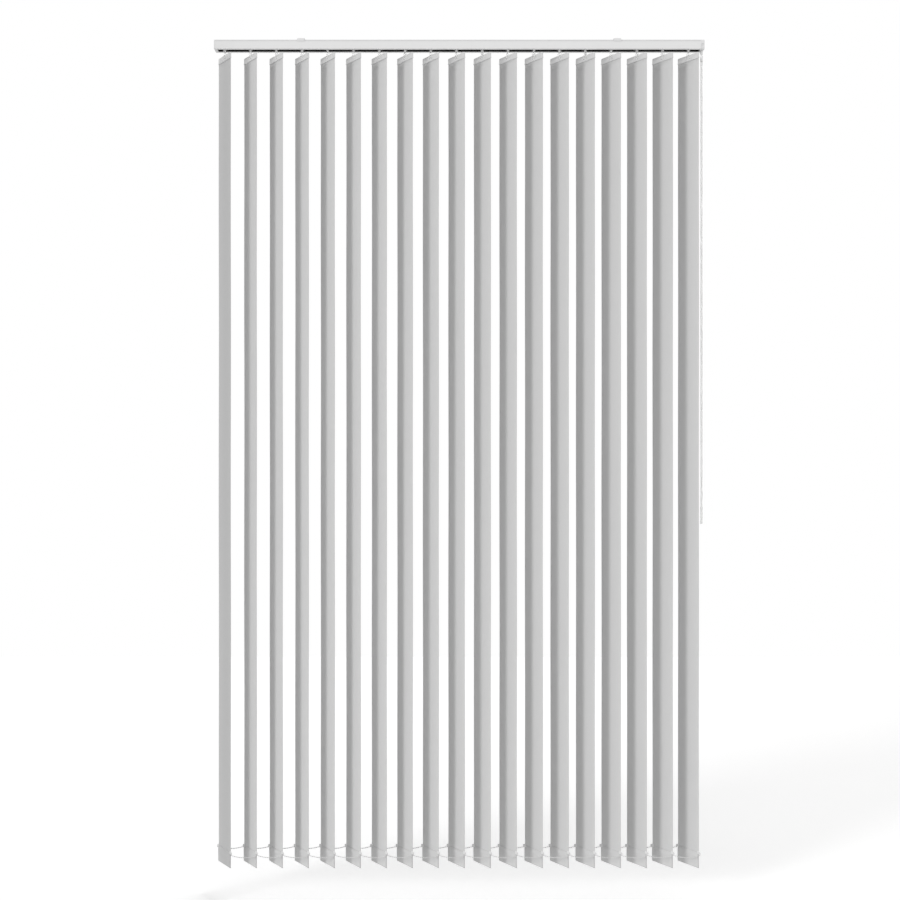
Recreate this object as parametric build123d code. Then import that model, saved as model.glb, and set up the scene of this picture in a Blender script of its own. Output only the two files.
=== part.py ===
"""Vertical blind: fabric slats that turn and draw on a clip-up ceiling rail. Millimetres.

The origin lies on the ceiling, midway between the two bracket screws. X runs along the rail,
-Y faces the room and Z points up.
"""

import os
from math import asin, cos, floor, pi, radians, sin

from build123d import *

# Overall sizes
rail_length = 1488.0  # over both end caps
blind_drop = 2508.0  # rail top to slat foot
bracket_standoff = 4.2  # ceiling to rail top

# Slats
slat_width = 89.0
slat_overlap = 10.5  # of two closed neighbours
slat_angle = 56.4  # degrees between slat and rail at rest
stack_pitch = 17.0  # slat spacing when drawn together
first_slat_inset = 29.5  # left rail end to the first slat's axis
last_slat_room = 40.0  # least room from the last slat's axis to the right rail end
fabric_thickness = 0.5
pocket_height = 48.0
weight_thickness = 1.6
ear_reach = 8.5  # of the weight past the slat's edges
ear_root = 6.0  # of the weight inside the slat's edges
ear_drop = 5.0  # pocket top to the ear's underside
ear_root_height = 8.5
ear_tip_height = 5.5
ear_hole_radius = 1.0
ear_hole_inset = 2.6  # from the ear's end

# Hanger clip and stem
hanger_drop = 14.2  # rail underside to hanger top
hanger_height = 17.0
hanger_thickness = 2.2
hanger_overhang = 2.5  # past the slat's edges
hanger_corner = 3.0
tab_width = 16.0
tab_height = 8.0
tab_thickness = 1.6
fork_width = 7.0
fork_thickness = 3.4
fork_height = 9.0
stem_radius = 3.0
pivot_radius = 1.5
pivot_length = 1.5
stem_gear_radius = 4.5
gear_height = 5.0
tooth_depth = 0.8
stem_teeth = 12
tooth_shares = (0.0, 0.2, 0.5, 0.7)  # of a tooth's pitch: root, tip, tip, root

# Headrail
rail_depth = 42.0
rail_height = 28.4
rail_wall = 1.5
slot_width = 22.0
rail_top_radius = 4.0
rail_foot_radius = 0.8
groove_drop = 3.6  # rail top to the clip groove
groove_height = 1.6
groove_depth = 0.7
port_size = 5.0
port_hole_radius = 1.3

# Carriers
carrier_length = 14.0
carrier_height = 17.0
carrier_lift = 1.4  # above the rail's flanges
carrier_end_wall = 2.0
gear_lift = 8.4  # carrier underside to the gear's middle
worm_radius = 3.7
wheel_radius = 3.0
wheel_width = 2.9
wheel_side_gap = 2.0  # to the rail's walls
wheel_offset = 3.6  # along the rail from the stem's axis
axle_radius = 1.4
axle_stub = 0.6
spacer_groove_width = 8.0
spacer_groove_depth = 3.6
spacer_width = 5.0
spacer_thickness = 0.4
spacer_gap = 0.15  # between nested strips
spacer_tail = 5.0
spacer_foot_length = 8.0
spacer_reach = 2.5  # past the next carrier

# Tilt rod
rod_radius = 2.5
rod_groove_width = 1.0
rod_groove_depth = 0.7
rod_groove_count = 3

# End caps
left_cap_width = 4.5
right_cap_width = 11.0
cap_wall = 2.0
cap_cavity_half_depth = 14.6
boss_radius = 4.5
boss_length = 8.0
slot_tongue_length = 4.5
slot_tongue_height = 3.0
bearing_depth = 7.0
journal_depth = 1.2
recess_height = 14.0
recess_depth = 2.0
recess_side = 1.5  # rim beside the recess
cap_screw_radius = 1.2
cap_screw_length = 8.0  # into the rail
cap_screw_head_radius = 2.4
cap_screw_head_height = 1.6
clip_depth = 6.0
clip_height = 8.0
clip_offset = 9.0  # in front of the stems

# Ceiling brackets
bracket_inset = 264.0  # from each rail end
bracket_width = 22.0
bracket_sheet = 1.2
bracket_bend = 2.0
bracket_hook_reach = 0.6
bracket_hook_height = 1.2
bracket_screw_radius = 2.25

# Wand
wand_inset = 5.5  # right rail end to the wand's axis
wand_end_drop = 1470.0  # rail top to the wand's foot
wand_radius = 3.4
wand_stub_gear_radius = 3.0
stub_teeth = 8
rod_gear_teeth = 14
rod_gear_thickness = 4.0
stub_shaft_radius = 1.8
stub_collar_radius = 3.4
stub_collar_height = 1.0
wand_fork_radius = 4.0
wand_fork_gap = 2.0  # rail underside to fork
wand_fork_height = 10.0
wand_slot_width = 3.2
wand_pin_radius = 1.0
wand_pin_lift = 2.6  # above the fork's foot
tongue_thickness = 2.7
tongue_radius = 2.2
ferrule_gap = 7.0  # below the pin's axis
ferrule_height = 16.0
ferrule_radius = 4.0
ferrule_socket = 12.0
grip_height = 52.0
grip_radius = 4.0
grip_socket = 50.0

# Chains
chain_radius = 1.1
chain_bead_radius = 1.6
chain_sag = 6.5

# Clearances
running_gap = 0.1  # round a turning shaft
bearing_gap = 0.1  # round the rod in its end bearings
rolling_gap = 0.3  # under wheels and between gears
seat_gap = 0.1  # between clip and rail
fit_gap = 0.05  # round a pressed piece
screw_gap = 0.4  # round a cap screw
end_gap = 0.5  # at a shaft's end
chain_gap = 0.2  # under an ear

# Levels and positions
rail_top = -bracket_standoff
rail_foot = rail_top - rail_height
rail_floor = rail_foot + rail_wall
rail_middle = (rail_top + rail_foot) / 2
rail_left = -rail_length / 2
rail_right = rail_length / 2
body_left = rail_left + left_cap_width
body_right = rail_right - right_cap_width
slat_foot = rail_top - blind_drop
hanger_top = rail_foot - hanger_drop
hanger_foot = hanger_top - hanger_height
slat_pitch = slat_width - slat_overlap
slat_count = floor((rail_length - first_slat_inset - last_slat_room) / slat_pitch) + 1
slat_axes = [rail_left + first_slat_inset + i * slat_pitch for i in range(slat_count)]
carrier_depth = rail_depth - 2 * (rail_wall + wheel_side_gap + wheel_width + axle_stub)
carrier_foot = rail_floor + carrier_lift
carrier_top = carrier_foot + carrier_height
spacer_floor = carrier_top - spacer_groove_depth
gear_middle = carrier_foot + gear_lift
gear_low = gear_middle - gear_height / 2
gear_high = gear_middle + gear_height / 2
rod_y = stem_gear_radius + worm_radius + rolling_gap
rod_gear_radius = rod_y - wand_stub_gear_radius - rolling_gap
port_y = rail_depth / 2 - rail_wall - port_size / 2
port_z = rail_top - rail_wall - port_size / 2
wand_x = rail_right - wand_inset
wand_fork_top = rail_foot - wand_fork_gap
wand_fork_foot = wand_fork_top - wand_fork_height
wand_pin_z = wand_fork_foot + wand_pin_lift
ferrule_top = wand_pin_z - ferrule_gap
ferrule_foot = ferrule_top - ferrule_height
wand_foot = rail_top - wand_end_drop
pocket_top = slat_foot + pocket_height
pocket_front = -(fabric_thickness * 3 / 2 + weight_thickness)
weight_front = -(fabric_thickness / 2 + weight_thickness)
ear_end = slat_width / 2 + ear_reach
ear_low = pocket_top - ear_drop


def block(x0, x1, y0, y1, z0, z1):
    """Box between two corners."""
    return Pos((x0 + x1) / 2, (y0 + y1) / 2, (z0 + z1) / 2) * Box(x1 - x0, y1 - y0, z1 - z0)


def upright(x, y, radius, z0, z1):
    """Cylinder along Z."""
    return Pos(x, y, (z0 + z1) / 2) * Cylinder(radius, z1 - z0)


def along_rail(y, z, radius, x0, x1):
    """Cylinder along X."""
    return Pos((x0 + x1) / 2, y, z) * Rot(Y=90) * Cylinder(radius, x1 - x0)


def across_rail(x, z, radius, y0, y1):
    """Cylinder along Y."""
    return Pos(x, (y0 + y1) / 2, z) * Rot(X=90) * Cylinder(radius, y1 - y0)


def section(sketch, x0, x1):
    """Profile in Y and Z drawn out along X."""
    return extrude(Plane.YZ.offset(x0) * sketch, amount=x1 - x0)


def gear_sketch(radius, teeth):
    """Straight-sided gear outline: tip points at the radius, root points one tooth depth inside."""
    root = radius - tooth_depth
    points = []
    for k in range(teeth):
        for share, reach in zip(tooth_shares, (root, radius, radius, root)):
            turn = 2 * pi * (k + share) / teeth
            points.append((reach * cos(turn), reach * sin(turn)))
    return make_face(Polyline(points, close=True))


def rail_outline():
    """Outer profile of rail and caps, in Y and Z."""
    outline = Pos(0, rail_middle) * Rectangle(rail_depth, rail_height)
    corners = outline.vertices().group_by(Axis.Y)
    outline = fillet(corners[-1], rail_top_radius)
    return fillet(outline.vertices().group_by(Axis.Y)[0], rail_foot_radius)


def headrail():
    """Channel with a slot below, a clip groove on both sides and two screw ports."""
    profile = rail_outline()
    profile -= Pos(0, rail_middle) * Rectangle(rail_depth - 2 * rail_wall, rail_height - 2 * rail_wall)
    profile -= Pos(0, rail_foot + rail_wall / 2) * Rectangle(slot_width, rail_wall * 2)
    for side in (-1, 1):
        groove = Rectangle(groove_depth * 2, groove_height)
        profile -= Pos(side * rail_depth / 2, rail_top - groove_drop - groove_height / 2) * groove
        profile += Pos(side * port_y, port_z) * Rectangle(port_size, port_size)
        profile -= Pos(side * port_y, port_z) * Circle(port_hole_radius)
    return section(profile, body_left, body_right)


def screw_holes(outside, inside, way):
    """Clearance holes of a cap's two screws, counterbored for their heads; way points into the rail."""
    seat = outside + way * cap_screw_head_height
    holes = []
    for side in (-1, 1):
        for radius, end in ((cap_screw_radius, inside), (cap_screw_head_radius, seat)):
            ends = sorted((outside, end))
            holes.append(along_rail(side * port_y, port_z, radius + screw_gap, *ends))
    return holes


def end_cap_left():
    """Plate with a boss that carries the rod's end and a tongue that shuts the slot's end."""
    cap = section(rail_outline(), rail_left, body_left)
    cap += along_rail(rod_y, gear_middle, boss_radius, body_left, body_left + boss_length)
    half = slot_width / 2 - fit_gap
    tongue_end = body_left + slot_tongue_length
    cap += block(body_left, tongue_end, -half, half, rail_foot, rail_foot + slot_tongue_height)
    bore_end = body_left + boss_length
    cap -= along_rail(rod_y, gear_middle, rod_radius + bearing_gap, bore_end - bearing_depth, bore_end)
    return cap - screw_holes(rail_left, body_left, 1)


def end_cap_right():
    """Gear housing open to the rail, with a bearing for the rod and one for the wand's shaft."""
    cap = section(rail_outline(), body_right, rail_right)
    cavity_end = rail_right - cap_wall
    half = cap_cavity_half_depth
    cap -= block(body_right, cavity_end, -half, half, rail_foot + cap_wall, rail_top - cap_wall)
    journal_end = cavity_end + journal_depth
    cap -= along_rail(rod_y, gear_middle, rod_radius + bearing_gap, cavity_end, journal_end)
    cap -= upright(wand_x, 0, stub_shaft_radius + bearing_gap, rail_foot, rail_foot + cap_wall)
    front = -rail_depth / 2
    cap -= block(
        body_right + recess_side,
        rail_right - recess_side,
        front,
        front + recess_depth,
        rail_foot + recess_side,
        rail_foot + recess_side + recess_height,
    )
    return cap - screw_holes(rail_right, body_right, -1)


def end_cap_screws():
    """Four screws as separate solids, their heads flush in the caps."""
    screws = []
    for outside, inside, way in ((rail_left, body_left, 1), (rail_right, body_right, -1)):
        tip = inside + way * cap_screw_length
        seat = outside + way * cap_screw_head_height
        for side in (-1, 1):
            shank = along_rail(side * port_y, port_z, cap_screw_radius, *sorted((outside, tip)))
            head = along_rail(side * port_y, port_z, cap_screw_head_radius, *sorted((outside, seat)))
            screws.append(shank + head)
    return Compound(children=screws)


def anchor_clip():
    """Bar that holds the first carrier to the left cap."""
    return block(
        body_left,
        slat_axes[0] - carrier_length / 2,
        -clip_offset - clip_depth / 2,
        -clip_offset + clip_depth / 2,
        gear_middle - clip_height / 2,
        gear_middle + clip_height / 2,
    )


def bracket(x):
    """Folded clip: a screwed plate whose two legs hook into the rail's grooves."""
    inside = rail_depth / 2 + seat_gap
    outside = inside + bracket_sheet
    hook_top = rail_top - groove_drop - seat_gap * 2
    hook_foot = hook_top - bracket_hook_height
    outline = Pos(0, hook_foot / 2) * Rectangle(2 * outside, -hook_foot)
    outline = fillet(outline.vertices().group_by(Axis.Y)[-1], bracket_bend + bracket_sheet)
    room = Pos(0, (hook_foot - bracket_sheet) / 2) * Rectangle(2 * inside, -hook_foot - bracket_sheet)
    room = fillet(room.vertices().group_by(Axis.Y)[-1], bracket_bend)
    profile = outline - room
    reach = seat_gap + bracket_hook_reach
    for side in (-1, 1):
        hook = Rectangle(reach + bracket_sheet, bracket_hook_height)
        profile += Pos(side * (outside - (reach + bracket_sheet) / 2), (hook_top + hook_foot) / 2) * hook
    clip = section(profile, x - bracket_width / 2, x + bracket_width / 2)
    return clip - upright(x, 0, bracket_screw_radius, -bracket_sheet, 0)


def carrier():
    """Wheeled carrier about its stem's axis, with a window for the gear and a worm sleeve on the rod."""
    half = carrier_length / 2
    side = carrier_depth / 2
    body = block(-half, half, -side, side, carrier_foot, carrier_top)
    cavity = stem_gear_radius + rolling_gap
    low = gear_low - rolling_gap
    high = gear_high + rolling_gap
    body -= upright(0, 0, cavity, low, high)
    body -= block(-cavity, cavity, -side, 0, low, high)
    room = worm_radius + rolling_gap
    inner = half - carrier_end_wall
    body -= block(-inner, inner, rod_y - room, rod_y + room, gear_middle - room, gear_middle + room)
    body += along_rail(rod_y, gear_middle, worm_radius, -half, half)
    body -= along_rail(rod_y, gear_middle, rod_radius + running_gap, -half, half)
    body -= upright(0, 0, stem_radius + running_gap, carrier_foot, low)
    body -= upright(0, 0, pivot_radius + running_gap, high, gear_high + pivot_length + running_gap)
    groove = spacer_groove_width / 2
    body -= block(-half, half, -groove, groove, spacer_floor, carrier_top)
    axle_z = rail_floor + rolling_gap + wheel_radius
    for way in (-1, 1):
        wall = way * side
        hub = way * (side + axle_stub)
        rim = way * (side + axle_stub + wheel_width)
        for shift in (-wheel_offset, wheel_offset):
            body += across_rail(shift, axle_z, axle_radius, min(wall, hub), max(wall, hub))
            body += across_rail(shift, axle_z, wheel_radius, min(hub, rim), max(hub, rim))
    return body


def spacer():
    """Sloping strip to the next carrier: z = floor + rise * (x - start), so drawn-up strips nest."""
    floor_z = spacer_floor
    rise = (spacer_thickness + spacer_gap) / stack_pitch
    start = -spacer_tail
    heel = start + spacer_foot_length
    end = slat_pitch + carrier_length / 2 + spacer_reach
    points = [
        (start, floor_z),
        (heel, floor_z),
        (heel, floor_z + rise * (heel - start)),
        (end, floor_z + rise * (end - start)),
        (end, floor_z + rise * (end - start) + spacer_thickness),
        (start, floor_z + spacer_thickness),
    ]
    strip = make_face(Polyline(points, close=True))
    return extrude(Plane.XZ.offset(-spacer_width / 2) * strip, amount=spacer_width)


def tilt_rod():
    """Round rod with lengthways grooves."""
    profile = Circle(rod_radius)
    for k in range(rod_groove_count):
        groove = Pos(rod_radius, 0) * Rectangle(2 * rod_groove_depth, rod_groove_width)
        profile -= Rot(Z=360 * k / rod_groove_count) * groove
    start = body_left + boss_length - bearing_depth + end_gap
    end = rail_right - cap_wall + journal_depth - end_gap
    return section(Pos(rod_y, gear_middle) * profile, start, end)


def rod_gear():
    """Gear on the rod's right end, inside the gear housing."""
    gear = gear_sketch(rod_gear_radius, rod_gear_teeth) - Circle(rod_radius + fit_gap)
    half = rod_gear_thickness / 2
    return section(Pos(rod_y, gear_middle) * gear, wand_x - half, wand_x + half)


def slat():
    """Slat about its own axis, width along X and seen side to -Y, fused with hanger, stem and weight."""
    half = slat_width / 2
    sheet = fabric_thickness / 2
    shape = block(-half, half, -sheet, sheet, slat_foot, hanger_top - hanger_corner)
    band = Rectangle(slat_width + 2 * hanger_overhang, hanger_height)
    band = fillet(band.vertices().group_by(Axis.Y)[-1], hanger_corner)
    band = Pos(0, (hanger_top + hanger_foot) / 2) * band
    shape += extrude(Plane.XZ.offset(-hanger_thickness / 2) * band, amount=hanger_thickness)
    tab = tab_thickness / 2
    shape += block(-tab_width / 2, tab_width / 2, -tab, tab, hanger_foot, hanger_top + tab_height)
    fork_top = hanger_top + fork_height
    fork = fork_thickness / 2
    shape += block(-fork_width / 2, fork_width / 2, -fork, fork, hanger_top, fork_top)
    shape += upright(0, 0, stem_radius, fork_top, gear_low)
    gear = Pos(0, 0, gear_low) * gear_sketch(stem_gear_radius, stem_teeth)
    shape += extrude(gear, amount=gear_height)
    shape += upright(0, 0, pivot_radius, gear_high, gear_high + pivot_length)
    shape += block(-half, half, pocket_front, sheet, slat_foot, pocket_top)
    for side in (-1, 1):
        inner = side * (half - ear_root)
        points = [
            (inner, ear_low),
            (side * ear_end, ear_low),
            (side * ear_end, ear_low + ear_tip_height),
            (side * half, ear_low + ear_root_height),
            (inner, ear_low + ear_root_height),
        ]
        ear = make_face(Polyline(points, close=True))
        shape += extrude(Plane.XZ.offset(-weight_front) * ear, amount=weight_front + sheet)
        hole_x = side * (ear_end - ear_hole_inset)
        shape -= across_rail(hole_x, ear_low + ear_hole_inset, ear_hole_radius, weight_front, -sheet)
    return shape


def chain(side):
    """Strands that hang in arcs from bead to bead under the ears along one edge of the slats.

    An arc of sag s over a half span h has the radius r = (h^2 + s^2) / 2s, and its points lie at
    x = r sin(t), z = -r cos(t) from its centre.
    """
    turn = radians(slat_angle)
    reach = side * (ear_end - ear_hole_inset)
    out = (weight_front - fabric_thickness / 2) / 2
    shift_x = reach * cos(turn) + out * sin(turn)
    y = -reach * sin(turn) + out * cos(turn)
    z = ear_low - chain_gap - chain_bead_radius
    half = slat_pitch / 2
    radius = (half**2 + chain_sag**2) / (2 * chain_sag)
    centre_z = z - chain_sag + radius
    spread = asin(half / radius) - 2 * asin((chain_bead_radius + fit_gap) / (2 * radius))
    pieces = [Pos(x + shift_x, y, z) * Sphere(chain_bead_radius) for x in slat_axes]
    for x in slat_axes[:-1]:
        middle = x + shift_x + half
        ends = [(middle + radius * sin(t), y, centre_z - radius * cos(t)) for t in (-spread, 0, spread)]
        path = ThreePointArc(*ends)
        pieces.append(sweep(Plane(ends[0], z_dir=path % 0) * Circle(chain_radius), path))
    return Compound(children=pieces)


def wand_stub():
    """Gear, shaft and fork that carry the wand."""
    gear = Pos(wand_x, 0, gear_low) * gear_sketch(wand_stub_gear_radius, stub_teeth)
    stub = extrude(gear, amount=gear_height)
    stub += upright(wand_x, 0, stub_shaft_radius, wand_fork_top, gear_low)
    collar_foot = rail_foot + cap_wall + rolling_gap
    stub += upright(wand_x, 0, stub_collar_radius, collar_foot, collar_foot + stub_collar_height)
    stub += upright(wand_x, 0, wand_fork_radius, wand_fork_foot, wand_fork_top)
    reach = wand_fork_radius
    slot = wand_slot_width / 2
    slot_top = wand_pin_z + tongue_radius + end_gap
    stub -= block(wand_x - reach, wand_x + reach, -slot, slot, wand_fork_foot, slot_top)
    return stub - across_rail(wand_x, wand_pin_z, wand_pin_radius + fit_gap, -reach, reach)


def wand_pin():
    """Hinge pin in the fork."""
    flush = wand_fork_radius - end_gap
    return across_rail(wand_x, wand_pin_z, wand_pin_radius, -flush, flush)


def wand_ferrule():
    """Socket on the wand's top with a tongue that turns on the pin."""
    ferrule = upright(wand_x, 0, ferrule_radius, ferrule_foot, ferrule_top)
    half = tongue_thickness / 2
    ferrule += block(wand_x - tongue_radius, wand_x + tongue_radius, -half, half, ferrule_top, wand_pin_z)
    ferrule += across_rail(wand_x, wand_pin_z, tongue_radius, -half, half)
    ferrule -= across_rail(wand_x, wand_pin_z, wand_pin_radius + bearing_gap, -half, half)
    return ferrule - upright(wand_x, 0, wand_radius + fit_gap, ferrule_foot, ferrule_foot + ferrule_socket)


def wand_rod():
    """Plain rod from ferrule to grip."""
    low = wand_foot + grip_height - grip_socket
    return upright(wand_x, 0, wand_radius, low, ferrule_foot + ferrule_socket)


def wand_grip():
    """Sleeve on the wand's foot."""
    grip = upright(wand_x, 0, grip_radius, wand_foot, wand_foot + grip_height)
    low = wand_foot + grip_height - grip_socket
    return grip - upright(wand_x, 0, wand_radius + fit_gap, low, wand_foot + grip_height)


# Every piece in its place
nodes = {
    "headrail": headrail(),
    "end_cap_left": end_cap_left(),
    "end_cap_right": end_cap_right(),
    "end_cap_screws": end_cap_screws(),
    "anchor_clip": anchor_clip(),
    "bracket_left": bracket(rail_left + bracket_inset),
    "bracket_right": bracket(rail_right - bracket_inset),
    "tilt_rod": tilt_rod(),
    "rod_gear": rod_gear(),
    "front_chain": chain(1),
    "back_chain": chain(-1),
    "wand_stub": wand_stub(),
    "wand_pin": wand_pin(),
    "wand_ferrule": wand_ferrule(),
    "wand_rod": wand_rod(),
    "wand_grip": wand_grip(),
}
one_slat = Rot(Z=-slat_angle) * slat()
last_carrier = carrier()
linked_carrier = last_carrier + spacer()
for number, axis_x in enumerate(slat_axes, 1):
    kind = linked_carrier if number < slat_count else last_carrier
    nodes[f"carrier_{number:02d}"] = Pos(axis_x, 0, 0) * kind
    nodes[f"slat_{number:02d}"] = Pos(axis_x, 0, 0) * one_slat

os.makedirs("parts", exist_ok=True)
for name, shape in nodes.items():
    export_step(shape, f"parts/{name}.step")
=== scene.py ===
import math

import bpy
import numpy as np
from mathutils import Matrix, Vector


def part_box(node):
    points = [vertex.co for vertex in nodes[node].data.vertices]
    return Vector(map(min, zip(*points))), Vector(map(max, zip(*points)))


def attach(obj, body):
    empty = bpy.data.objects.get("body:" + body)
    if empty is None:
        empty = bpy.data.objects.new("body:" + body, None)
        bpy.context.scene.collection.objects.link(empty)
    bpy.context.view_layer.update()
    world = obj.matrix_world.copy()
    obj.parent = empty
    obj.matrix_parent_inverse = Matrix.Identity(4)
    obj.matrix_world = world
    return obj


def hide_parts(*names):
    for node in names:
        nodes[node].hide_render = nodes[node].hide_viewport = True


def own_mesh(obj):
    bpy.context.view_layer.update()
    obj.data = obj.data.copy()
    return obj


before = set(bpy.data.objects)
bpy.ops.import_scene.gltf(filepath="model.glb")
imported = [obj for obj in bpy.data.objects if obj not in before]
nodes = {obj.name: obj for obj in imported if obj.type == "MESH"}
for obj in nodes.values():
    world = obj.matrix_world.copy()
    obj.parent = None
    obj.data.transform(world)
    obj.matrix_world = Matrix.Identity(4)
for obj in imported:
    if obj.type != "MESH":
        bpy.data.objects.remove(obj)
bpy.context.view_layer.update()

# Sizes that the part's source also has, in metres
SLATS = 19
PITCH = 0.0785
FIRST_X = -0.7145
TURN = math.radians(56.4)
RAIL_TOP = -0.0042
RAIL_FOOT = RAIL_TOP - 0.0284
RAIL_HALF_DEPTH = 0.021
SLAT_FOOT = RAIL_TOP - 2.508
SLAT_HALF = 0.0445
CLOTH = 0.0005
WEIGHT = 0.0016
POCKET = 0.048
HEM = SLAT_FOOT + POCKET
EAR_END = SLAT_HALF + 0.0085
EAR_ROOT = SLAT_HALF - 0.006
EAR_ROOT_HEIGHT = 0.0085
EAR_HOLE = EAR_END - 0.0026
EAR_LOW = HEM - 0.005
HANGER_TOP = RAIL_FOOT - 0.0142
TAB_HALF = 0.008
TAB_TOP = HANGER_TOP + 0.008
FORK_HALF = 0.0035
STEM_RADIUS = 0.003
PIVOT_RADIUS = 0.0015
PIVOT_LENGTH = 0.0015
RAIL_WALL = 0.0015
CARRIER_LIFT = 0.0014
GEAR_LIFT = 0.0059  # carrier underside to the gear's foot
GEAR_LOW = RAIL_FOOT + RAIL_WALL + CARRIER_LIFT + GEAR_LIFT
GEAR_TOP = GEAR_LOW + 0.005
CHAIN_SAG = 0.0065
CHAIN_GAP = 0.0002  # under an ear
WAND_X = 0.7385
WAND_RADIUS = 0.0034

# Sizes of the scene's own detail, in metres
COAT_DEPTH = 0.0013  # of the rail's wall that takes the outside colour
COAT_LIFT = 0.0003  # of the rail's flanges that takes it
# Painted shade: the band below the rail's top over which the coat is darkened, in place of the shade on its
# rounded top edge
TOP_SHADE_BAND = 0.010  # below the rail's top
THREADS = 0.0014  # two threads of the weave
CLOTH_TOP = HANGER_TOP - 0.004
POCKET_SHOULDER = 0.009  # below the hem, where the pocket's front starts to slope
POCKET_SLOPE = ((0.86, 0.0075), (0.5, 0.0055))  # shares of the pocket's depth, each below the hem
WELD = 0.004  # height of the welded hem
WELD_GAP = 0.00005
RIPPLE = 0.00035
RIPPLE_RUN = 0.3  # over which the ripple grows from a held end
RIPPLE_TURN = 7.0  # radians for a metre of drop
RIPPLE_STEP = 1.7  # radians from slat to slat
HANGER_FOOT = HANGER_TOP - 0.0182
HANGER_HALF = SLAT_HALF + 0.0006
LIP_HALF = SLAT_HALF + 0.0016
LIP_HEIGHT = 0.0032
TAB_LOW = HANGER_TOP - 0.012
FORK_TOP = HANGER_TOP + 0.0102
COLLAR_RADIUS = 0.0036
COLLAR_TOP = RAIL_FOOT + 0.0018
COLLAR_EDGE = 0.0003
GEAR_RADIUS = 0.0041  # between the roots and tips of the source's teeth
CLEAR_TOP = RAIL_FOOT - 0.0032  # below which the stem is half clear
CLEAR_FADE = 0.0008
WEIGHT_PLAY = 0.0003  # between the weight and its pocket
WEIGHT_LOW = SLAT_FOOT + 0.0016
WEIGHT_TOP = HEM - 0.011
EAR_CORNER = 0.001
EAR_TIP_HEIGHT = 0.0058
EAR_TIP_SLANT = 0.0012
RING_LIFT = 0.0004  # ear's underside to the ring's middle
CHAIN_BOW = 0.0028
CHAIN_BOW_RUN = 0.0025
CHAIN_BALL = 0.0018
CHAIN_STRAND = 0.0007
CHAIN_Z = EAR_LOW - CHAIN_GAP - CHAIN_BALL
BALLS_PER_SPAN = 15
WAND_EDGE = 0.0004
WAND_IN_GRIP = 0.003
GRIP_STEP = 0.0006  # grip over rod
GRIP_FOOT_ROUND = 0.0018
GRIP_TOP_ROUND = 0.001
GROOVES = (0.3, 0.5, 0.7)  # shares of the grip's height
GROOVE_WIDTH = 0.035  # share of the grip's height
GROOVE_DEPTH = 0.00022


# Surfaces
def grid_faces(rows, columns, around=False):
    """Quads of a rows by columns grid, row by row; around joins the last column to the first."""
    row = np.arange(rows - 1)[:, None] * columns
    column = np.arange(columns if around else columns - 1)[None, :]
    after = (column + 1) % columns
    quads = [row + column, row + after, row + columns + after, row + columns + column]
    return np.stack(quads, axis=-1).reshape(-1, 4)


def lathe(profile, x, y, sides=32):
    """Profile of (r, h) turned about an upright axis: (x + r cos t, y + r sin t, h), ends closed."""
    radii, heights = np.asarray(profile, float).T
    turn = np.arange(sides) * 2 * math.pi / sides
    r = radii[:, None]
    h = np.broadcast_to(heights[:, None], (len(radii), sides))
    points = np.stack([x + r * np.cos(turn), y + r * np.sin(turn), h], axis=-1).reshape(-1, 3)
    quads = grid_faces(len(radii), sides, around=True)
    last = (len(radii) - 1) * sides
    caps = [list(range(sides - 1, -1, -1)), list(range(last, last + sides))]
    return points, quads.tolist() + caps


def rounded_outline(half, low, high, low_corner, high_corner, steps=5):
    """Rectangle -half to half in u and low to high in z, anticlockwise, its corners quarter circles."""
    quarter = np.linspace(0, math.pi / 2, steps)
    corners = (
        (half - low_corner, low + low_corner, low_corner, -math.pi / 2),
        (half - high_corner, high - high_corner, high_corner, 0.0),
        (-half + high_corner, high - high_corner, high_corner, math.pi / 2),
        (-half + low_corner, low + low_corner, low_corner, math.pi),
    )
    arcs = [
        np.stack([u + r * np.cos(start + quarter), z + r * np.sin(start + quarter)], axis=-1)
        for u, z, r, start in corners
    ]
    return np.concatenate(arcs)


def slab(outline, thick, edge, middle=0.0):
    """Outline in u and z carried through n by thick about middle, drawn in by edge at both faces."""
    ahead = np.roll(outline, -1, axis=0) - np.roll(outline, 1, axis=0)
    normal = np.stack([ahead[:, 1], -ahead[:, 0]], axis=-1)
    normal = normal / np.linalg.norm(normal, axis=1, keepdims=True)
    n0, n1 = middle - thick / 2, middle + thick / 2
    rings = []
    for inset, n in ((edge, n0), (0, n0 + edge), (0, n1 - edge), (edge, n1)):
        drawn_in = outline - normal * inset
        rings.append(np.stack([drawn_in[:, 0], np.full(len(drawn_in), n), drawn_in[:, 1]], axis=-1))
    count = len(outline)
    quads = grid_faces(4, count, around=True)
    caps = [list(range(count)), list(range(4 * count - 1, 3 * count - 1, -1))]
    return np.concatenate(rings), quads[:, ::-1].tolist() + caps


def ring(centre, wide, tall, wire, sides=18, thickness=8):
    """Oval wire ring: centre + (wire cos b, (wide + wire sin b) sin a, (tall + wire sin b) cos a)."""
    a = np.arange(sides)[:, None] * 2 * math.pi / sides
    b = np.arange(thickness)[None, :] * 2 * math.pi / thickness
    swell = wire * np.sin(b)
    along = np.broadcast_to(wire * np.cos(b), (sides, thickness))
    points = np.stack([along, (wide + swell) * np.sin(a), (tall + swell) * np.cos(a)], -1)
    row = np.arange(sides)[:, None] * thickness
    after = (np.arange(sides)[:, None] + 1) % sides * thickness
    column = np.arange(thickness)[None, :]
    beside = (column + 1) % thickness
    quads = np.stack([row + column, row + beside, after + beside, after + column], -1)
    return points.reshape(-1, 3) + np.asarray(centre), quads.reshape(-1, 4).tolist()


def joined(*shapes):
    """Several shapes as one list of points and faces."""
    points, faces, start = [], [], 0
    for shape_points, shape_faces in shapes:
        points.append(shape_points)
        faces += [[start + k for k in face] for face in shape_faces]
        start += len(shape_points)
    return np.concatenate(points), faces


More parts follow.
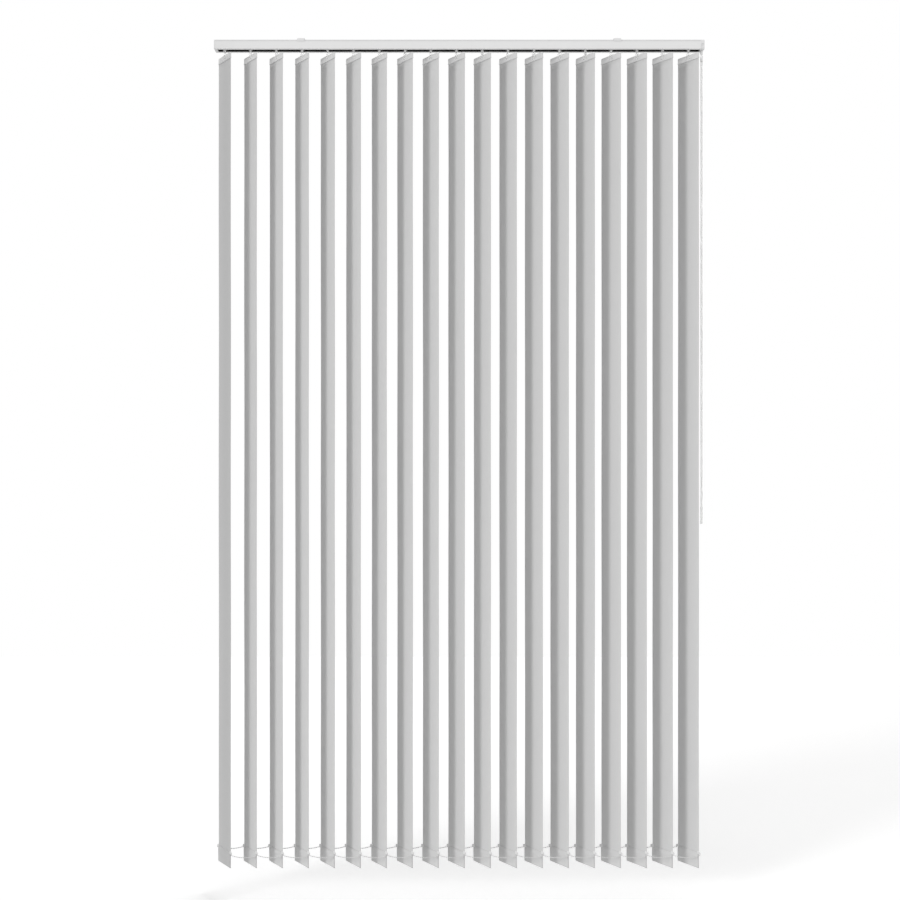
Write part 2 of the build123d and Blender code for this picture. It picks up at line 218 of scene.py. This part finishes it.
def at_slat(points, number):
    """Slat coordinates (u across, n through, z up) on a slat's axis, turned from the rail by TURN."""
    u, n, z = points[:, 0], points[:, 1], points[:, 2]
    x = FIRST_X + (number - 1) * PITCH + u * math.cos(TURN) + n * math.sin(TURN)
    y = -u * math.sin(TURN) + n * math.cos(TURN)
    return np.stack([x, y, z], axis=-1)


def make_piece(name, shape, finish, body, uv=None, crisp_from=0.7):
    """Mesh object with one finish that rides on a body; edges sharper than crisp_from radians stay crisp."""
    points, faces = shape
    mesh = bpy.data.meshes.new(name)
    mesh.from_pydata(np.asarray(points, float).tolist(), [], faces)
    mesh.polygons.foreach_set("use_smooth", np.ones(len(mesh.polygons), bool))
    if uv is not None:
        layer = mesh.uv_layers.new(name="UVMap")
        loops = np.empty(len(mesh.loops), np.int32)
        mesh.loops.foreach_get("vertex_index", loops)
        layer.data.foreach_set("uv", np.asarray(uv, np.float32)[loops].ravel())
    mesh.materials.append(finish)
    mesh.update()
    mesh.set_sharp_from_angle(angle=crisp_from)
    piece = bpy.data.objects.new(name, mesh)
    bpy.context.scene.collection.objects.link(piece)
    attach(piece, body)
    return piece


def slat_name(number):
    return f"slat_{number:02d}"


def slat_piece(number, part, shape, finish, uv=None):
    """Piece in slat coordinates, set on its slat and named for it."""
    points, faces = shape
    body = slat_name(number)
    return make_piece(f"{body}_{part}", (at_slat(points, number), faces), finish, body, uv)


# Shader expressions
class Shade:
    """One output socket in a node tree; arithmetic on it adds Math nodes."""

    def __init__(self, tree, socket=None):
        self.tree = tree
        self.socket = socket

    def node(self, kind, settings, inputs, output=0):
        """A node of that kind with its settings made first, then its inputs set or linked."""
        made = self.tree.nodes.new(kind)
        for key, value in settings.items():
            setattr(made, key, value)
        for key, value in inputs.items():
            if isinstance(value, Shade):
                self.tree.links.new(value.socket, made.inputs[key])
            else:
                made.inputs[key].default_value = value
        return Shade(self.tree, made.outputs[output])

    def beside(self, output):
        """Another output of the same node."""
        return Shade(self.tree, self.socket.node.outputs[output])

    def math(self, operation, a, b=0.0):
        return self.node("ShaderNodeMath", {"operation": operation}, {0: a, 1: b})

    def __add__(self, other):
        return self.math("ADD", self, other)

    def __radd__(self, other):
        return self.math("ADD", other, self)

    def __sub__(self, other):
        return self.math("SUBTRACT", self, other)

    def __rsub__(self, other):
        return self.math("SUBTRACT", other, self)

    def __mul__(self, other):
        return self.math("MULTIPLY", self, other)

    def __rmul__(self, other):
        return self.math("MULTIPLY", other, self)

    def __truediv__(self, other):
        return self.math("DIVIDE", self, other)

    def __rtruediv__(self, other):
        return self.math("DIVIDE", other, self)

    def below(self, other):
        """1 where this is less than other."""
        return self.math("LESS_THAN", self, other)

    def above(self, other):
        """1 where this is greater than other."""
        return self.math("GREATER_THAN", self, other)

    def larger(self, other):
        return self.math("MAXIMUM", self, other)

    def held(self):
        """This value kept between 0 and 1."""
        return self.node("ShaderNodeClamp", {}, {"Value": self})

    def sine(self):
        return self.math("SINE", self)

    def size(self):
        """Absolute value."""
        return self.math("ABSOLUTE", self)

    def parts(self):
        """The three components of a vector."""
        x = self.node("ShaderNodeSeparateXYZ", {}, {0: self})
        return x, x.beside(1), x.beside(2)

    def stretched(self, scale):
        """This vector with each component scaled."""
        return self.node("ShaderNodeMapping", {}, {"Vector": self, "Scale": scale})

    def noise(self, scale, roughness=0.55):
        """Fractal noise of this vector, from 0 to 1."""
        inputs = {"Vector": self, "Scale": scale, "Detail": 2.0, "Roughness": roughness}
        return self.node("ShaderNodeTexNoise", {}, inputs)

    def mixed(self, colour_a, colour_b):
        """Colour between two, by this value."""
        a, b = [c if isinstance(c, Shade) else (*c, 1.0) for c in (colour_a, colour_b)]
        return self.node("ShaderNodeMix", {"data_type": "RGBA"}, {0: self, 6: a, 7: b}, output=2)

    def greys(self, level, low, high):
        """Grey from low to high times level, by this value."""
        return self.mixed(grey(level * low), grey(level * high))

    def bump(self, distance, strength):
        """Normal from this height."""
        inputs = {"Height": self, "Distance": distance, "Strength": strength}
        return self.node("ShaderNodeBump", {}, inputs)


def grey(level):
    return (level, level, level)


def new_finish(name, roughness, **constants):
    """Principled material; returns it, its shader and the Object and UV coordinates as expressions."""
    material = bpy.data.materials.new(name)
    material.use_nodes = True
    tree = material.node_tree
    shader = tree.nodes["Principled BSDF"]
    shader.inputs["Roughness"].default_value = roughness
    for key, value in constants.items():
        shader.inputs[key.replace("_", " ")].default_value = value
    place = Shade(tree).node("ShaderNodeTexCoord", {}, {}, "Object")
    return material, shader, place, place.beside("UV")


def feed(shader, **links):
    """Links expressions to the shader's sockets."""
    for key, value in links.items():
        value.tree.links.new(value.socket, shader.inputs[key.replace("_", " ")])


def moulded_plastic(name, level, roughness, grain):
    """Moulded plastic: fine spark-eroded grain in the bump, slow drifts of tone and gloss."""
    material, shader, place, _ = new_finish(name, roughness)
    drift = place.noise(9.0)
    feed(shader, Base_Color=drift.greys(level, low=0.97, high=1.03))
    feed(shader, Roughness=drift * 0.12 + (roughness - 0.06))
    feed(shader, Normal=place.noise(2600.0).bump(distance=grain, strength=0.35))
    return material


def clear_stem(level):
    """Half-clear plastic where the stem hangs free, cloudy white where it turns in the rail's slot."""
    material, shader, place, _ = new_finish(
        "stem_plastic",
        0.3,
        Subsurface_Weight=1.0,
        Subsurface_Scale=0.006,
        Subsurface_Radius=(1.0, 1.0, 1.0),
        Specular_IOR_Level=1.0,
    )
    _, _, z = place.parts()
    drift = place.noise(60.0)
    feed(shader, Base_Color=drift.greys(level, low=0.96, high=1.04))
    feed(shader, Roughness=drift * 0.1 + 0.25)
    hangs_free = ((CLEAR_TOP - z) / CLEAR_FADE).held()
    feed(shader, Alpha=1.0 - hangs_free * (drift * 0.08 + 0.80))
    return material


def milky_wand(level):
    """Milky plastic that lets some of what is behind it through, with slow drifts of tone and gloss."""
    material, shader, place, _ = new_finish(
        "wand_plastic",
        0.3,
        Subsurface_Weight=0.8,
        Subsurface_Scale=0.0025,
        Subsurface_Radius=(1.0, 1.0, 1.0),
    )
    drift = place.noise(9.0)
    feed(shader, Base_Color=drift.greys(level, low=0.97, high=1.03))
    feed(shader, Roughness=drift * 0.12 + 0.24)
    feed(shader, Alpha=drift * 0.08 + 0.40)
    feed(shader, Normal=place.noise(2600.0).bump(distance=0.00001, strength=0.35))
    return material


def rail_coat(level):
    """Powder coat with orange peel and painted shade that darkens it towards its top edge; the channel's
    inside is painted near black as painted shade.
    """
    material, shader, place, _ = new_finish("rail_coat", 0.42)
    _, y, z = place.parts()
    # Painted shade: between the walls and flanges the channel's inside is coloured near black for the shade
    # in the slot
    between_walls = y.size().below(RAIL_HALF_DEPTH - COAT_DEPTH)
    inside = between_walls * z.above(RAIL_FOOT + COAT_LIFT) * z.below(RAIL_TOP - COAT_DEPTH)
    drift = place.noise(5.0)
    # Painted shade: the coat darkens to nine tenths of its level towards the rail's top edge
    edge = ((z - (RAIL_TOP - TOP_SHADE_BAND)) / TOP_SHADE_BAND).held()
    outside = edge.mixed(drift.greys(level, low=0.985, high=1.015), grey(level * 0.9))
    feed(shader, Base_Color=inside.mixed(outside, grey(0.02)))
    feed(shader, Roughness=drift * 0.1 + 0.37 + inside * 0.3)
    feed(shader, Normal=place.noise(900.0).bump(distance=0.00005, strength=0.25))
    return material


def slat_cloth(level):
    """Plain weave of 0.7 mm threads: warp and weft sines that take turns on top, with slubs and drift."""
    material, shader, place, thread = new_finish(
        "slat_cloth", 0.86, Sheen_Weight=0.12, Sheen_Roughness=0.5
    )
    across, along, _ = thread.parts()
    step = 2 * math.pi / THREADS
    weave = (across * step).sine() * (along * step).sine() * 0.5 + 0.5
    slub = thread.stretched((900.0, 60.0, 1.0)).noise(1.0, roughness=0.5)
    drift = place.noise(3.0)
    tone = weave * 0.35 + slub * 0.4 + drift * 0.25
    feed(shader, Base_Color=tone.greys(level, low=0.96, high=1.04))
    feed(shader, Roughness=weave * 0.08 + 0.82)
    feed(shader, Normal=(weave + slub * 0.6).bump(distance=0.00006, strength=0.5))
    return material


def metal(name, level, roughness):
    """Bare metal with fine lengthways drawing marks."""
    material, shader, place, _ = new_finish(name, roughness, Metallic=1.0)
    marks = place.stretched((12.0, 2500.0, 2500.0)).noise(1.0)
    feed(shader, Base_Color=marks.greys(level, low=0.94, high=1.04))
    feed(shader, Roughness=marks * 0.15 + (roughness - 0.07))
    feed(shader, Normal=marks.bump(distance=0.00002, strength=0.2))
    return material


coat = rail_coat(level=0.79)
cap_finish = moulded_plastic("cap_plastic", level=0.76, roughness=0.45, grain=0.00003)
clip_finish = moulded_plastic("clip_coat", level=0.76, roughness=0.42, grain=0.00003)
carrier_finish = moulded_plastic("carrier_plastic", level=0.03, roughness=0.5, grain=0.00003)
hanger_finish = moulded_plastic("hanger_plastic", level=0.66, roughness=0.42, grain=0.00003)
stem_finish = clear_stem(level=0.97)
weight_finish = moulded_plastic("weight_plastic", level=0.72, roughness=0.45, grain=0.00003)
chain_finish = moulded_plastic("chain_plastic", level=0.64, roughness=0.3, grain=0.00001)
wand_finish = milky_wand(level=0.95)
fork_finish = moulded_plastic("fork_plastic", level=0.90, roughness=0.32, grain=0.00001)
cloth_finish = slat_cloth(level=0.60)
rod_finish = metal("rod_aluminium", level=0.62, roughness=0.38)
steel_finish = metal("screw_steel", level=0.52, roughness=0.32)

# Finishes of the CAD pieces that stay as they are
CAD_FINISHES = {
    "headrail": coat,
    "end_cap_left": cap_finish,
    "end_cap_right": cap_finish,
    "end_cap_screws": steel_finish,
    "anchor_clip": carrier_finish,
    "bracket_left": clip_finish,
    "bracket_right": clip_finish,
    "tilt_rod": rod_finish,
    "rod_gear": carrier_finish,
    "wand_stub": fork_finish,
    "wand_pin": steel_finish,
    "wand_ferrule": fork_finish,
}
for number in range(1, SLATS + 1):
    CAD_FINISHES[f"carrier_{number:02d}"] = carrier_finish
for name, finish in CAD_FINISHES.items():
    nodes[name].data.materials.clear()
    nodes[name].data.materials.append(finish)


# Slats
def vane_path(fall_rows=60, rise_rows=12, bend_rows=9):
    """Section of one slat in n and z: down from the hanger, round the weight and up to the welded hem."""
    back = 0.0
    front = -(WEIGHT + CLOTH)
    bend = (back - front) / 2
    weld = -(CLOTH + WELD_GAP)
    fall = np.linspace(CLOTH_TOP, SLAT_FOOT + bend, fall_rows)
    turn = np.linspace(0, math.pi, bend_rows)[1:-1]
    rise = np.linspace(SLAT_FOOT + bend, HEM - POCKET_SHOULDER, rise_rows)
    slope_n = [front * share for share, _ in POCKET_SLOPE] + [weld, weld]
    slope_z = [HEM - drop for _, drop in POCKET_SLOPE] + [HEM - WELD, HEM]
    round_n = back - bend + bend * np.cos(turn)
    round_z = SLAT_FOOT + bend - bend * np.sin(turn)
    n = np.concatenate([np.full(fall_rows, back), round_n, np.full(rise_rows, front), slope_n])
    z = np.concatenate([fall, round_z, rise, slope_z])
    return n, z


def vane(number, columns=15):
    """Cloth sheet (u, n(s) + ripple, z(s)) with the path's length s along it, made thick by Solidify.

    The ripple is a slow sine that grows with the square of u, so the edges are not ruler straight.
    """
    n, z = vane_path()
    rows = len(n)
    u = np.linspace(-SLAT_HALF, SLAT_HALF, columns)
    length = np.append(0.0, np.cumsum(np.hypot(np.diff(n), np.diff(z))))
    from_hem = np.clip((z - HEM) / RIPPLE_RUN, 0, 1)
    from_hanger = np.clip((HANGER_FOOT - z) / RIPPLE_RUN, 0, 1)
    wave = RIPPLE * from_hem * from_hanger * np.sin(RIPPLE_TURN * z + RIPPLE_STEP * number)
    ripple = wave[:, None] * (u / SLAT_HALF)[None, :] ** 2
    across = np.broadcast_to(u, (rows, columns))
    upright = np.broadcast_to(z[:, None], (rows, columns))
    points = np.stack([across, n[:, None] + ripple, upright], axis=-1).reshape(-1, 3)
    uv = np.stack(np.broadcast_arrays(u[None, :], length[:, None]), axis=-1).reshape(-1, 2)
    shape = points, grid_faces(rows, columns)[:, ::-1].tolist()
    piece = slat_piece(number, "cloth", shape, cloth_finish, uv)
    thickness = piece.modifiers.new("cloth thickness", "SOLIDIFY")
    thickness.thickness = CLOTH
    thickness.offset = 0.0
    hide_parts(slat_name(number))
    return piece, float(length[-1])


def hanger(number):
    """Clip band with a lip along its foot, each a slab."""
    band = rounded_outline(HANGER_HALF, HANGER_FOOT, HANGER_TOP, low_corner=0.0008, high_corner=0.003)
    lip = rounded_outline(
        LIP_HALF, HANGER_FOOT, HANGER_FOOT + LIP_HEIGHT, low_corner=0.0006, high_corner=0.0012
    )
    shape = joined(slab(band, thick=0.0022, edge=0.0003), slab(lip, thick=0.0026, edge=0.0003))
    return slat_piece(number, "hanger", shape, hanger_finish)


def stem(number):
    """Tab and fork as slabs, and the stem with its gear as a turned profile."""
    tab = rounded_outline(TAB_HALF, TAB_LOW, TAB_TOP, low_corner=0.0005, high_corner=0.003)
    fork = rounded_outline(FORK_HALF, HANGER_TOP, FORK_TOP, low_corner=0.0008, high_corner=0.001)
    profile = [
        (COLLAR_RADIUS - 0.0004, FORK_TOP - COLLAR_EDGE),
        (COLLAR_RADIUS, FORK_TOP + COLLAR_EDGE),
        (COLLAR_RADIUS, COLLAR_TOP),
        (STEM_RADIUS, COLLAR_TOP + 0.0006),
        (STEM_RADIUS, GEAR_LOW),
        (GEAR_RADIUS, GEAR_LOW),
        (GEAR_RADIUS, GEAR_TOP),
        (PIVOT_RADIUS, GEAR_TOP),
        (PIVOT_RADIUS - 0.0002, GEAR_TOP + PIVOT_LENGTH),
    ]
    shape = joined(
        slab(tab, thick=0.0028, edge=0.0003),
        slab(fork, thick=0.0034, edge=0.0004),
        lathe(profile, 0.0, 0.0),
    )
    return slat_piece(number, "stem", shape, stem_finish)


def weight(number):
    """Bottom weight in the pocket, a sloping ear past each edge and the wire ring that takes the chain."""
    middle = -(CLOTH + WEIGHT) / 2
    plate = rounded_outline(SLAT_HALF, WEIGHT_LOW, WEIGHT_TOP, low_corner=0.001, high_corner=0.001)
    shapes = [slab(plate, WEIGHT - 2 * WEIGHT_PLAY, edge=0.0002, middle=middle)]
    ear = np.array(
        [
            (EAR_ROOT, EAR_LOW),
            (EAR_END - EAR_CORNER, EAR_LOW),
            (EAR_END, EAR_LOW + EAR_CORNER),
            (EAR_END, EAR_LOW + EAR_TIP_HEIGHT - EAR_CORNER),
            (EAR_END - EAR_TIP_SLANT, EAR_LOW + EAR_TIP_HEIGHT),
            (SLAT_HALF, EAR_LOW + EAR_ROOT_HEIGHT),
            (EAR_ROOT, EAR_LOW + EAR_ROOT_HEIGHT),
        ]
    )
    for side in (-1, 1):
        outline = ear if side > 0 else (ear * (-1, 1))[::-1]
        hole = (side * EAR_HOLE, middle, EAR_LOW + RING_LIFT)
        shapes.append(slab(outline, WEIGHT, edge=0.0003, middle=middle))
        shapes.append(ring(hole, wide=0.0012, tall=0.0024, wire=0.00045))
    return slat_piece(number, "weight", joined(*shapes), weight_finish)


for number in range(1, SLATS + 1):
    clip = hanger(number)
    stem(number)
    foot = weight(number)
    sheet, sheet_length = vane(number)


# Chains
def chain_line(side):
    """Points along one chain: arcs x = r sin t, z = -r cos t between the ears, r = (h^2 + s^2) / 2s.

    h is half the pitch and s the sag.
    At a distance d from the nearest ear it stands CHAIN_BOW (1 - exp(-(d / CHAIN_BOW_RUN)^2)) away
    from the slats, so that it lies against their pockets, and not in them, when they are closed.
    """
    reach = side * EAR_HOLE
    out = -(CLOTH + WEIGHT) / 2
    start = FIRST_X + reach * math.cos(TURN) + out * math.sin(TURN)
    y = -reach * math.sin(TURN) + out * math.cos(TURN)
    spans = SLATS - 1
    half = PITCH / 2
    radius = (half**2 + CHAIN_SAG**2) / (2 * CHAIN_SAG)
    spread = math.asin(half / radius)
    t = np.linspace(-spread, spread, BALLS_PER_SPAN + 1)[:-1]
    middles = start + half + PITCH * np.arange(spans)
    from_ear = (half - np.abs(radius * np.sin(t))) / CHAIN_BOW_RUN
    bow = np.tile(CHAIN_BOW * (1 - np.exp(-(from_ear**2))), spans)
    x = (middles[:, None] + radius * np.sin(t)).ravel()
    z = np.tile(CHAIN_Z - CHAIN_SAG + radius - radius * np.cos(t), spans)
    x = np.append(x, start + PITCH * spans)
    bow = np.append(bow, 0.0)
    z = np.append(z, CHAIN_Z)
    return np.stack([x, y - side * bow, z], axis=-1)


def ball(radius, sides=8, rings=5):
    """Sphere (r sin b cos a, r sin b sin a, r cos b) whose poles are closed by fans."""
    b = (np.arange(1, rings) * math.pi / rings)[:, None]
    a = (np.arange(sides) * 2 * math.pi / sides)[None, :]
    level = np.broadcast_to(np.cos(b), (rings - 1, sides))
    points = np.stack([np.sin(b) * np.cos(a), np.sin(b) * np.sin(a), level], axis=-1).reshape(-1, 3)
    points = np.concatenate([points, [[0, 0, 1], [0, 0, -1]]]) * radius
    k = np.arange(sides)
    after = (k + 1) % sides
    last = (rings - 2) * sides
    quads = grid_faces(rings - 1, sides, around=True)[:, ::-1].tolist()
    tops = np.stack([np.full(sides, len(points) - 2), k, after], axis=-1).tolist()
    feet = np.stack([np.full(sides, len(points) - 1), last + after, last + k], axis=-1).tolist()
    return points, quads + tops + feet


def strand(line, radius, sides=6):
    """Tube round a line: line + radius (cos a y + sin a up), up square to y and to the line."""
    along = np.gradient(line, axis=0)
    along = along / np.linalg.norm(along, axis=1, keepdims=True)
    up = np.cross([0.0, -1.0, 0.0], along)
    a = (np.arange(sides) * 2 * math.pi / sides)[None, :, None]
    around = np.cos(a) * np.array([0.0, 1.0, 0.0]) + np.sin(a) * up[:, None, :]
    tube = line[:, None, :] + radius * around
    faces = grid_faces(len(line), sides, around=True)[:, ::-1].tolist()
    last = (len(line) - 1) * sides
    caps = [list(range(sides)), list(range(last + sides - 1, last - 1, -1))]
    return tube.reshape(-1, 3), faces + caps


def chain(name, side):
    """Ball chain: a strand through balls at even steps along the arcs."""
    line = chain_line(side)
    points, faces = ball(CHAIN_BALL)
    balls = (points[None, :, :] + line[:, None, :]).reshape(-1, 3)
    starts = (np.arange(len(line)) * len(points)).tolist()
    ball_faces = [[k + start for k in face] for start in starts for face in faces]
    shape = joined((balls, ball_faces), strand(line, CHAIN_STRAND))
    piece = make_piece(f"{name}_balls", shape, chain_finish, name)
    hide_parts(name)
    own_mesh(piece)


chain("front_chain", 1)
chain("back_chain", -1)


# Wand
def wand_rod():
    """Smooth rod: a straight turned profile with bevelled ends, down to just inside the grip."""
    low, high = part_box("wand_grip")[1].z - WAND_IN_GRIP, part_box("wand_rod")[1].z
    profile = [
        (WAND_RADIUS - WAND_EDGE, low),
        (WAND_RADIUS, low + WAND_EDGE),
        (WAND_RADIUS, high - WAND_EDGE),
        (WAND_RADIUS - WAND_EDGE, high),
    ]
    shape = lathe(profile, WAND_X, 0.0, sides=40)
    piece = make_piece("wand_shaft", shape, wand_finish, "wand")
    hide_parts("wand_rod")


def wand_grip(rows=61):
    """Grip sleeve: a turned profile with rounded ends and shallow finger grooves, each a bell curve."""
    low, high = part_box("wand_grip")[0].z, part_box("wand_grip")[1].z
    share = np.linspace(0, 1, rows)
    z = low + (high - low) * share
    from_foot = np.clip((z - low) / GRIP_FOOT_ROUND, 0, 1)
    from_top = np.clip((high - z) / GRIP_TOP_ROUND, 0, 1)
    rim = np.minimum(from_foot, from_top)
    r = WAND_RADIUS + GRIP_STEP * np.sqrt(1 - (1 - rim) ** 2)
    grooves = sum(np.exp(-(((share - middle) / GROOVE_WIDTH) ** 2)) for middle in GROOVES)
    profile = np.stack([r - GROOVE_DEPTH * grooves, z], axis=-1)
    shape = lathe(profile, WAND_X, 0.0, sides=40)
    piece = make_piece("wand_handle", shape, wand_finish, "wand")
    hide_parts("wand_grip")


wand_rod()
wand_grip()


# Camera and light
KEY_LEFT = math.radians(49.0)
KEY_UP = math.radians(18.0)


def look_from(place, lens):
    """Camera that looks along +Y with no shift."""
    data = bpy.data.cameras.new("camera")
    data.lens = lens
    data.sensor_width = 36.0
    camera = bpy.data.objects.new("camera", data)
    camera.location = place
    camera.rotation_euler = (math.pi / 2, 0.0, 0.0)
    bpy.context.scene.collection.objects.link(camera)
    bpy.context.scene.camera = camera


def key_light(strength, width):
    """Soft sun from KEY_LEFT of the camera and KEY_UP above it; width is its angle in degrees."""
    data = bpy.data.lights.new("key", "SUN")
    data.energy = strength
    data.angle = math.radians(width)
    lamp = bpy.data.objects.new("key", data)
    lamp.rotation_euler = (math.pi / 2 - KEY_UP, 0.0, -KEY_LEFT)
    bpy.context.scene.collection.objects.link(lamp)


def seen_directly(tree):
    """1 for rays from the camera and for those that a gloss or a clear piece sends on, 0 for the rest."""
    camera = Shade(tree).node("ShaderNodeLightPath", {}, {}, "Is Camera Ray")
    return camera.larger(camera.beside("Is Glossy Ray").larger(camera.beside("Is Transmission Ray")))


def white_world(level, rise):
    """White where seen directly; for the rest soft light from all round, stronger from above by rise."""
    world = bpy.data.worlds.new("studio")
    bpy.context.scene.world = world
    world.use_nodes = True
    tree = world.node_tree
    direct = seen_directly(tree)
    _, _, up = Shade(tree).node("ShaderNodeTexCoord", {}, {}, "Generated").parts()
    ambient = level + up * rise
    background = tree.nodes["Background"]
    background.inputs["Color"].default_value = (1.0, 1.0, 1.0, 1.0)
    feed(background, Strength=direct * (1.0 - ambient) + ambient)


def stage_quad(name, corners, material):
    """Flat four-cornered piece of the stage."""
    mesh = bpy.data.meshes.new(name)
    mesh.from_pydata(corners, [], [(0, 1, 2, 3)])
    mesh.materials.append(material)
    quad = bpy.data.objects.new(name, mesh)
    bpy.context.scene.collection.objects.link(quad)
    return quad


def pale_floor(height, half, glow):
    """Pale floor that keeps shadows; a little glow, seen directly, brings its open parts up to white."""
    material, shader, place, _ = new_finish("floor_paint", 0.9, Emission_Strength=glow)
    feed(shader, Base_Color=place.noise(2.0).mixed(grey(0.90), grey(0.92)))
    feed(shader, Emission_Color=seen_directly(place.tree).mixed(grey(0.0), grey(1.0)))
    sides = ((-half, -half), (half, -half), (half, half), (-half, half))
    stage_quad("floor", [(x, y, height) for x, y in sides], material)


def grey_gel(reach, margin, low, high, pass_level):
    """Grey filter in front of the first slat, set reach towards the key light, that the camera can't see."""
    towards_slat = np.array([math.sin(KEY_LEFT), math.cos(KEY_LEFT)])
    edge = np.array([math.cos(TURN), -math.sin(TURN)]) * (SLAT_HALF + margin)
    middle = np.array([FIRST_X, 0.0]) - towards_slat * reach
    back, front = middle - edge, middle + edge
    material = bpy.data.materials.new("gel")
    material.use_nodes = True
    tree = material.node_tree
    tree.nodes.remove(tree.nodes["Principled BSDF"])
    colour = (*grey(pass_level), 1.0)
    filtered = Shade(tree).node("ShaderNodeBsdfTransparent", {}, {"Color": colour})
    feed(tree.nodes["Material Output"], Surface=filtered)
    corners = [(*back, low), (*front, low), (*front, high), (*back, high)]
    stage_quad("gel", corners, material).visible_camera = False


look_from(place=(-0.0280, -3.9335, -1.2494), lens=51.62)
key_light(strength=1.07, width=17.0)
white_world(level=0.70, rise=0.10)
pale_floor(height=SLAT_FOOT - 0.09, half=4.5, glow=0.25)
grey_gel(reach=0.06, margin=0.004, low=SLAT_FOOT - 0.1, high=RAIL_FOOT - 0.002, pass_level=0.61)
bpy.context.scene.view_settings.view_transform = "Standard"
